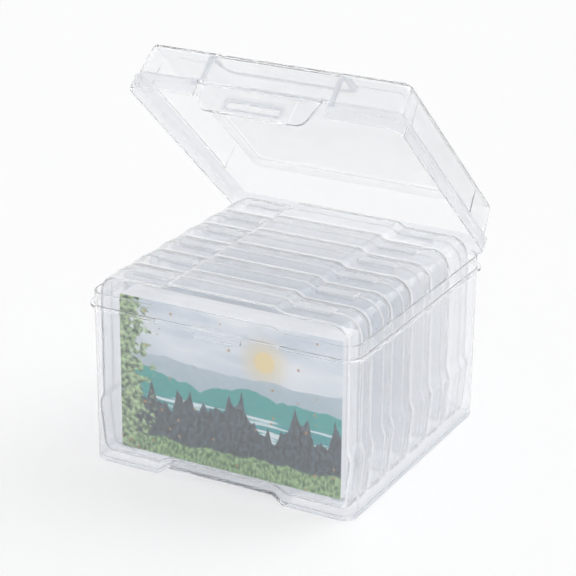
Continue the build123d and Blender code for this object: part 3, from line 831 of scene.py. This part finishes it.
def box_shape():
    """The box: its shell, the catch on its front for the latch, and two pairs of hinge ears."""
    wall = BOX_HALF_Y - SUNK
    catch = [
        (-wall, CATCH_LOW),
        (-wall - CATCH_OUT, CATCH_LOW),
        (-wall - CATCH_OUT, CATCH_LOW + CATCH_LIP),
        (-wall, CATCH_HIGH),
    ]
    ear_low = HINGE_Z - EAR_DROP
    ear = [(wall, ear_low), (wall + EAR_FOOT, ear_low)]
    ear += arc_points((HINGE_Y, HINGE_Z), EAR_RADIUS, *EAR_ARC).tolist()
    ear.append((wall, HINGE_Z))
    parts = [box_shell(), prism(catch, -CATCH_HALF, CATCH_HALF)]
    for station in (-HINGE_STATION, HINGE_STATION):
        for side in (-1, 1):
            parts.append(prism(ear, *on_side(side, EAR_START, EAR_START + EAR_THICKNESS, station)))
    return joined(parts)


def box_satin_and_shade(points):
    """1 along the bottom edge of the box's walls: satin, with painted shade along that edge."""
    x, y, z = points.T
    outside = np.maximum(np.abs(x) - BOX_HALF_X, np.abs(y) - BOX_HALF_Y)
    return within(z - foot_raise(x), *BOX_SATIN_SHADE_RISE) * within(-outside, *BOX_SATIN_SHADE_DEPTH)


piece("clear_box", box_shape(), "box", ["base_box"], box_plastic, satin_and_shade=box_satin_and_shade)


# Lid


def slope_lines(edge):
    """Grid lines from well inside an edge of the grip's floor to just past its slope."""
    return np.linspace(edge - GRIP_SLOPE, edge + GRIP_SLOPE + 1.0, 19)


LID_X = np.unique(
    np.concatenate(
        [
            np.linspace(-LID_GRID_REACH, LID_GRID_REACH, 21),
            both_ways(line_pairs([PANEL_HALF, RECESS_HALF, NOTCH_HALF], STEP_WIDTH)),
            both_ways(slope_lines(GRIP_HALF)),
            both_ways([PANEL_HALF - 5.0, PANEL_HALF - 3.0, PANEL_HALF - 1.5]),
        ]
    )
)
LID_Y = np.unique(
    np.concatenate(
        [
            np.linspace(-LID_GRID_REACH, LID_GRID_REACH, 17),
            line_pairs([PANEL_FRONT, PANEL_BACK, RECESS_FRONT, RECESS_BACK], STEP_WIDTH),
            slope_lines(GRIP_BACK),
            [PANEL_FRONT + 2.0, PANEL_FRONT + 4.0, PANEL_BACK - 4.0, PANEL_BACK - 2.0],
        ]
    )
)


def panel_share(x, y):
    """1 inside the lid's raised panel, a rounded rectangle, and 0 outside, smooth over its slope."""
    middle, half = (PANEL_FRONT + PANEL_BACK) / 2, (PANEL_BACK - PANEL_FRONT) / 2
    past_x, past_y = np.abs(x) - PANEL_HALF, np.abs(y - middle) - half
    out_x, out_y = np.maximum(past_x + PANEL_RADIUS, 0), np.maximum(past_y + PANEL_RADIUS, 0)
    inner = np.minimum(np.maximum(past_x, past_y), 0)
    distance = np.where(out_x + out_y > 0, np.hypot(out_x, out_y) - PANEL_RADIUS, inner)
    return within(distance, -PANEL_SLOPE / 2, PANEL_SLOPE / 2)


def grip_distance(x, y):
    """How far a point lies outside the grip's floor, a rounded rectangle open to the front."""
    out_x = np.maximum(np.abs(x) - (GRIP_HALF - GRIP_RADIUS), 0)
    out_y = np.maximum(y - (GRIP_BACK - GRIP_RADIUS), 0)
    return np.hypot(out_x, out_y) - GRIP_RADIUS


def lid_relief(x, y):
    """How far the lid's top stands above its plain level: the raised panel, cut by the grip that
    slopes down from it to the front edge."""
    slope = smooth_step(grip_distance(x, y), 0.0, GRIP_SLOPE)
    return np.minimum(PANEL_RISE * panel_share(x, y), (GRIP_DEPTH + PANEL_RISE) * slope - GRIP_DEPTH)


def lid_ring(inset, level, drawn_in, radius_share, notch_share=0.0, recess_share=0.0, relief=False):
    """The lid's plan drawn in from its skirt, at a level. radius_share takes its corners from the
    skirt's radius to the top's, notch_share lifts its front middle to the notch's top, recess_share
    sinks the shallow recesses of its front and sides, and relief shapes it as the top."""
    reach_x, reach_y = LID_HALF_X - inset - drawn_in, LID_HALF_Y - inset - drawn_in
    radius = LID_RADIUS - inset + radius_share * (UPPER_RADIUS - LID_RADIUS)
    x, y = plan_ring(reach_x, reach_y, radius, LID_X, LID_Y).T.copy()
    on_front = y < -reach_y + TOUCHING
    on_side = np.abs(x) > reach_x - TOUCHING
    half_step = STEP_WIDTH / 2
    across = within(np.abs(x), RECESS_HALF - half_step, RECESS_HALF + half_step)
    y += RECESS_DEPTH * recess_share * on_front * across
    along = smooth_step(y, RECESS_FRONT - half_step, RECESS_FRONT + half_step)
    along *= within(y, RECESS_BACK - half_step, RECESS_BACK + half_step)
    x -= np.sign(x) * RECESS_DEPTH * recess_share * on_side * along
    notch = on_front * (np.abs(x) < NOTCH_HALF) * notch_share
    z = np.where(notch > 0, level + notch * (NOTCH_TOP - level), level)
    return np.column_stack([x, y, z + lid_relief(x, y) if relief else z])


def lid_wall(inset):
    """The lid's rings from the notch's level to the edge of its top, drawn in by inset."""
    low_levels = (LID_RIM + LID_RIM_BEVEL, SHOULDER_LOW - UNDER_SHOULDER)
    rings = [lid_ring(inset, level, 0, 0, 1.0) for level in low_levels]
    for t in np.linspace(0, 1, 9):
        across = smooth_step(t, 0, 1)
        level = SHOULDER_LOW + t * (SHOULDER_HIGH - SHOULDER_LOW)
        notch_share = 1.0 if level < NOTCH_TOP else 0.0
        rings.append(lid_ring(inset, level, across * SHOULDER_INSET, across, notch_share))
    top = LID_TOP - inset
    for level, recess_share in RECESS_LEVELS:
        drawn_in = SHOULDER_INSET + LID_DRAFT * (level - SHOULDER_HIGH) / (top - SHOULDER_HIGH)
        rings.append(lid_ring(inset, level, drawn_in, 1, recess_share=recess_share))
    turns = quarter(5)
    for turn in turns:
        drawn_in = SHOULDER_INSET + LID_DRAFT + TOP_EDGE * (1 - np.cos(turn))
        level = top - TOP_EDGE * (1 - np.sin(turn))
        rings.append(lid_ring(inset, level, drawn_in, 1, relief=turn == turns[-1]))
    return rings


def lid_shell():
    """The lid's top and wall: from its inner top down inside, round the rim and notch, and up
    outside."""
    rim = [lid_ring(inset, LID_RIM, 0, 0, 1.0) for inset in (LID_WALL - LID_RIM_BEVEL, LID_RIM_BEVEL)]
    return tub(
        np.array(lid_wall(LID_WALL)[::-1] + rim + lid_wall(0)),
        LID_X,
        LID_Y,
        lambda x, y: LID_TOP - LID_WALL + lid_relief(x, y),
        lambda x, y: LID_TOP + lid_relief(x, y),
    )


def lid_shape():
    """The lid: its shell, the bosses that hold the latch's pins, and the hinge's barrels and pins."""
    parts = [lid_shell()]
    for side in (-1, 1):
        ends = on_side(side, NOTCH_HALF, NOTCH_HALF + BOSS_LENGTH)
        parts.append(bar(*ends, LATCH_Y, LATCH_Z, BOSS_RADIUS))
    wall = LID_HALF_Y - SUNK
    barrel = [(wall, LID_RIM)]
    barrel += arc_points((HINGE_Y, HINGE_Z), BARREL_RADIUS, *BARREL_ARC).tolist()
    barrel.append((wall, LID_RIM + BARREL_RISE))
    for station in (-HINGE_STATION, HINGE_STATION):
        parts.append(prism(barrel, station - BARREL_HALF, station + BARREL_HALF))
        for side in (-1, 1):
            ends = on_side(side, BARREL_HALF, HINGE_PIN_END, station)
            parts.append(bar(*ends, HINGE_Y, HINGE_Z, HINGE_PIN_RADIUS, bevel=HINGE_PIN_BEVEL))
    return joined(parts)


def lid_satin_and_shade(points):
    """1 on the lid's satin parts, which also carry painted shade: the grip's slope and the borders of
    the front recess, and less on its skirt and shoulder."""
    x, y, z = points.T
    skirt = within(z, *SKIRT_FADE) * smooth_step(z, *RIM_FADE)
    away = grip_distance(x, y)
    slope = smooth_step(away, *SLOPE_LOW_FADE) * within(away, *SLOPE_HIGH_FADE)
    slope *= smooth_step(z, *TOP_FADE) * smooth_step(y, *SLOPE_FRONT_FADE)
    front = within(y, *BORDER_FRONT_FADE) * smooth_step(z, *BORDER_LOW_FADE) * (z < BORDER_TOP)
    border = within(np.abs(np.abs(x) - NOTCH_HALF), *BORDER_FADE)
    return np.clip(SKIRT_SATIN_SHADE * skirt + slope + front * border, 0, 1)


lid_turn = turned_about(HINGE_Y, HINGE_Z, -LID_ANGLE)
piece("clear_lid", lid_shape(), "lid", ["lid"], lid_plastic, lid_turn, lid_satin_and_shade)


# Latch


def latch_flap():
    """The latch's flap: a plate that tapers down to rounded lower corners, with a proud middle and
    a slot. Its grid's columns run straight down as far as the proud middle's edge, and from there
    on they follow the outline."""
    low = LATCH_Z - LATCH_HEIGHT
    rounding = low + LATCH_RADIUS * (1 - np.cos(quarter(7)))
    z = np.unique(np.concatenate([rounding, LATCH_LEVELS]))
    panel = np.array([LATCH_PANEL - LATCH_STEP / 2, LATCH_PANEL + LATCH_STEP / 2])
    inner = np.array([*LATCH_X, *panel])
    outer = np.linspace(0, 1, 5)[1:]
    taper = LATCH_LOW_HALF + (LATCH_HALF - LATCH_LOW_HALF) * (z - low) / LATCH_HEIGHT
    corner = np.clip(LATCH_RADIUS - (z - low), 0, LATCH_RADIUS)
    reach = taper - LATCH_RADIUS + np.sqrt(LATCH_RADIUS**2 - corner**2)
    edge = inner[-1] + outer * (reach[:, None] - inner[-1])
    right = np.hstack([np.tile(inner, (len(z), 1)), edge])
    x = np.hstack([-right[:, :0:-1], right])
    level = np.broadcast_to(z[:, None], x.shape)
    proud = LATCH_PROUD * within(np.abs(x), *panel)
    front = np.stack([x, LATCH_Y - LATCH_THICKNESS / 2 - proud, level], axis=-1)
    back = np.stack([x, np.full_like(x, LATCH_Y + LATCH_THICKNESS / 2), level], axis=-1)
    middle_x = (x[:-1, :-1] + x[1:, 1:]) / 2
    middle_z = ((z[:-1] + z[1:]) / 2)[:, None]
    slot = (np.abs(middle_x) < SLOT_HALF) & (middle_z > SLOT_LOW) & (middle_z < SLOT_HIGH)
    return grid_plate(front, back, ~slot)


def latch_shape():
    """The latch: its flap, its barrel, and its pins."""
    pins = LATCH_HALF + LATCH_PIN_REACH
    return joined(
        [
            latch_flap(),
            bar(-LATCH_HALF, LATCH_HALF, LATCH_Y, LATCH_Z, LATCH_BARREL_RADIUS),
            bar(-pins, pins, LATCH_Y, LATCH_Z, LATCH_PIN_RADIUS),
        ]
    )


def latch_satin_and_shade(points):
    """1 round the latch's slot, fading out: satin, with painted shade round the slot."""
    x, _, z = points.T
    middle, half = (SLOT_LOW + SLOT_HIGH) / 2, (SLOT_HIGH - SLOT_LOW) / 2
    return within(np.maximum(np.abs(x) - SLOT_HALF, np.abs(z - middle) - half), *SLOT_SATIN_SHADE)


latch_turn = lid_turn @ turned_about(LATCH_Y, LATCH_Z, -LATCH_ANGLE)
piece(
    "clear_latch",
    latch_shape(),
    "latch",
    ["front_latch"],
    box_plastic,
    latch_turn,
    latch_satin_and_shade,
)


# Photo cases


def case_ring(side, top, bottom, depth):
    """A photo case's outline from the front, drawn in at its sides, top and bottom, at a depth:
    stepped at its top and underside, wider low on its sides, with round corners."""
    half = CASE_HALF_X - side
    high, low = CASE_HIGH - top, CASE_LOW + bottom
    high_end, low_end = high - CASE_HIGH_STEP, low - CASE_LOW_STEP
    top_radius = CASE_TOP_RADIUS - side
    low_centre = (half + CASE_BULGE - BULGE_TAPER - CASE_LOW_RADIUS, low_end + CASE_LOW_RADIUS)
    t = np.linspace(0, 1, 9)
    bulge = half + CASE_BULGE * (1 - smooth_step(t, 0, 1))
    right = np.vstack(
        [
            [[BESIDE_MIDDLE, low], [FOOT_START, low]],
            s_curve((FOOT_START, low), (FOOT_END, low_end)),
            arc_points(low_centre, CASE_LOW_RADIUS, -90, 0),
            np.column_stack([bulge, BULGE_LEVEL + BULGE_RISE * t]),
            arc_points((half - top_radius, high_end - top_radius), top_radius, 0, 90, 10),
            [[TOP_STEP_END, high_end]],
            s_curve((TOP_STEP_END, high_end), (TOP_STEP_START, high)),
            [[BESIDE_MIDDLE, high]],
        ]
    )
    outline = np.vstack([right, [[0, high]], right[::-1] * [-1, 1], [[0, low]]])
    return np.column_stack([outline[:, 0], np.full(len(outline), depth), outline[:, 1]])


def tray_shell(parting, outward):
    """A tray's shell: from the inside of its face out to its rim, round the proud rim, and back
    along its outside to the face."""
    straight = CASE_HALF_DEPTH - FACE_ROUND

    def ring(wall, share, depth):
        """The outline drawn in by a wall and a share of the face's rounding."""
        drawn_in = [wall + share * most for most in (FACE_SIDE, FACE_TOP, FACE_BOTTOM)]
        return case_ring(*drawn_in, parting + outward * depth)

    def face_edge(wall, turns):
        """The round edge between the straight sides and the face."""
        deep = CASE_HALF_DEPTH - wall - straight
        return [ring(wall, 1 - np.cos(turn), straight + deep * np.sin(turn)) for turn in turns]

    rim = [ring(across, 0, depth) for across, depth in TRAY_RIM_PROFILE]
    turns = quarter(8)
    return capped(np.array(face_edge(CASE_WALL, turns[::-1]) + rim + face_edge(0, turns)))


def front_fittings(side, parting, high):
    """One side of a front tray's fittings: its knuckle, its pin, and its tongue over the back tray."""
    knuckle_end = FRONT_KNUCKLE + KNUCKLE_LENGTH
    knuckle = on_side(side, FRONT_KNUCKLE, knuckle_end)
    pin = on_side(side, knuckle_end, knuckle_end + CASE_PIN_LENGTH)
    middle = side * TONGUE_MIDDLE
    return [
        bar(*knuckle, parting, KNUCKLE_LEVEL, KNUCKLE_RADIUS),
        bar(*pin, parting, KNUCKLE_LEVEL, CASE_PIN_RADIUS),
        soft_box(
            (middle - TONGUE_WIDTH / 2, parting - TONGUE_ROOT, high - TONGUE_SUNK),
            (middle + TONGUE_WIDTH / 2, parting + TONGUE_REACH, high + TONGUE_RISE),
        ),
    ]


def back_fittings(side, parting, high):
    """One side of a back tray's fittings: its knuckle, and the stop at the tip of the tongue."""
    knuckle = on_side(side, BACK_KNUCKLE, BACK_KNUCKLE + KNUCKLE_LENGTH)
    middle = side * TONGUE_MIDDLE
    start = parting + TONGUE_REACH + STOP_GAP
    return [
        bar(*knuckle, parting, KNUCKLE_LEVEL, KNUCKLE_RADIUS),
        soft_box(
            (middle - STOP_HALF, start, high - TONGUE_SUNK),
            (middle + STOP_HALF, start + STOP_THICKNESS, high + STOP_RISE),
        ),
    ]


def tray_shape(parting, outward, fittings):
    """A tray: its shell, and its fittings on both sides."""
    parts = [tray_shell(parting, outward)]
    for side in (-1, 1):
        parts += fittings(side, parting, CASE_HIGH - CASE_HIGH_STEP)
    return joined(parts)


def painted_highlight_faces(parting):
    """Says which faces of a tray take the milk-white plastic of the painted highlights: those of its
    rim, and a line round the edge of its face.
    """

    def rule(middles):
        """True for the faces, by their middles, that take the painted highlight."""
        away = np.abs(middles[:, 1] - parting)
        above = middles[:, 2] > CASE_HIGH - CASE_HIGH_STEP + HIGHLIGHT_TOP
        on_tongue = (np.abs(middles[:, 0]) > TOP_STEP_END) & above
        on_edge = (away > EDGE_HIGHLIGHT[0]) & (away < EDGE_HIGHLIGHT[1])
        return ((away < RIM_HIGHLIGHT) & ~on_tongue) | on_edge

    return rule


for number in range(CASE_COUNT):
    parting = FIRST_FACE + CASE_HALF_DEPTH + number * CASE_PITCH
    body = f"case_{number + 1}"
    painted_highlight = painted_highlight_faces(parting)
    for half, outward, fittings in (("front", -1, front_fittings), ("back", 1, back_fittings)):
        shape = tray_shape(parting, outward, fittings)
        name, node = f"tray_{number + 1}_{half}", f"{body}_{half}"
        piece(name, shape, body, [node], case_plastic, painted_highlight=painted_highlight)


# Prints


def slab(low, high):
    """A plain block between two corners."""
    corners = np.array([[x, y, z] for x in (0, 1) for y in (0, 1) for z in (0, 1)])
    points = np.array(low) + corners * (np.array(high) - np.array(low))
    return points, [[0, 1, 3, 2], [4, 6, 7, 5], [0, 4, 5, 1], [2, 3, 7, 6], [0, 2, 6, 4], [1, 5, 7, 3]]


def front_shape():
    """The front print, a little thinner than its place, so that it clears the sheet behind it."""
    back = PRINT_FRONT + PRINT_THICKNESS - PRINT_GAP
    return slab((PRINT_LEFT, PRINT_FRONT, PRINT_LOW), (PRINT_RIGHT, back, PRINT_HIGH))


def stack_shape():
    """The prints behind the front one: thin sheets, each a little out of line across and up."""
    count = round(STACK_THICKNESS / SHEET_PITCH)
    shift = np.random.default_rng(11).uniform(0, SHEET_SHIFT, (count, 4))
    sheets = []
    for number, (left, right, low, high) in enumerate(shift):
        front = PRINT_FRONT + PRINT_THICKNESS + number * SHEET_PITCH
        corner = (PRINT_LEFT + left, front, PRINT_LOW + low)
        sheets.append(slab(corner, (PRINT_RIGHT - right, front + SHEET_THICKNESS, PRINT_HIGH - high)))
    return joined(sheets)


piece("front_print", front_shape(), "case_1", ["photo_print"], print_paper)
piece("sheet_stack", stack_shape(), "case_1", ["print_stack"], stack_paper)


# Studio


def studio_floor():
    """A wide pale floor that keeps the part's shadow. It glows for rays from the camera, and less
    for those that come through the plastic, so that it looks white in both."""
    corners = [(-FLOOR_REACH, -FLOOR_REACH, 0), (FLOOR_REACH, -FLOOR_REACH, 0)]
    corners += [(FLOOR_REACH, FLOOR_REACH, 0), (-FLOOR_REACH, FLOOR_REACH, 0)]
    mesh = bpy.data.meshes.new("studio_floor")
    mesh.from_pydata(corners, [], [(0, 1, 2, 3)])
    material, nodes, surface = new_material("studio_floor")
    path = nodes.add("ShaderNodeLightPath").outputs
    through = nodes.math("MULTIPLY", path["Is Transmission Ray"], FLOOR_THROUGH)
    share = nodes.math("MULTIPLY_ADD", path["Is Camera Ray"], FLOOR_SEEN, through)
    matt = nodes.add("ShaderNodeBsdfDiffuse", {"Color": FLOOR_COLOUR}).outputs["BSDF"]
    glow = nodes.add("ShaderNodeEmission", {"Color": WHITE}).outputs["Emission"]
    mix = nodes.add("ShaderNodeMixShader", {"Fac": share, 1: matt, 2: glow})
    nodes.put(surface, mix.outputs["Shader"])
    mesh.materials.append(material)
    return placed("studio_floor", mesh)


def studio_sky():
    """A white sky: at full strength where the camera, or a ray out of gloss or plastic, meets it,
    and weaker as the light on matt surfaces."""
    world = bpy.data.worlds.new("studio")
    world.use_nodes = True
    background = world.node_tree.nodes["Background"]
    nodes = Nodes(world.node_tree)
    path = nodes.add("ShaderNodeLightPath").outputs
    bent = nodes.math("ADD", path["Is Glossy Ray"], path["Is Transmission Ray"])
    looked_at = nodes.math("ADD", path["Is Camera Ray"], bent, clamp=True)
    nodes.put(background.inputs["Color"], WHITE)
    strength = nodes.math("MULTIPLY_ADD", looked_at, 1.0 - SKY_LIGHT, SKY_LIGHT)
    nodes.put(background.inputs["Strength"], strength)
    return world


def studio_sun():
    """A soft sun."""
    light = bpy.data.lights.new("studio_sun", "SUN")
    light.energy, light.angle = SUN_ENERGY, SUN_SPREAD
    sun = placed("studio_sun", light)
    sun.rotation_euler = SUN_TURN
    return sun


def camera_matrix(place, yaw, pitch, roll):
    """The camera's place and axes: it looks along yaw from +Y and pitch down, then rolls about that
    line."""
    look = np.array([np.sin(yaw) * np.cos(pitch), np.cos(yaw) * np.cos(pitch), -np.sin(pitch)])
    right = np.array([np.cos(yaw), -np.sin(yaw), 0.0])
    up = np.cross(right, look)
    turned_right = np.cos(roll) * right + np.sin(roll) * up
    turned_up = -np.sin(roll) * right + np.cos(roll) * up
    matrix = np.eye(4)
    matrix[:3] = np.column_stack([turned_right, turned_up, -look, place])
    return Matrix(matrix.tolist())


def studio_camera():
    """The camera, with its long lens."""
    lens = bpy.data.cameras.new("studio_camera")
    lens.lens, lens.sensor_width, lens.clip_end = CAMERA_LENS, SENSOR_WIDTH, CAMERA_REACH
    camera = placed("studio_camera", lens)
    camera.matrix_world = camera_matrix(CAMERA_PLACE, CAMERA_YAW, CAMERA_PITCH, CAMERA_ROLL)
    return camera


studio_floor()
studio_sun()
scene = bpy.context.scene
scene.world = studio_sky()
scene.camera = studio_camera()
scene.view_settings.view_transform = "Standard"

# A ray crosses dozens of clear walls, so it may bounce often, and stays as sharp as it starts
scene.cycles.max_bounces = 64
scene.cycles.transmission_bounces = 64
scene.cycles.glossy_bounces = 24
scene.cycles.diffuse_bounces = 12
scene.cycles.blur_glossy = 0.0
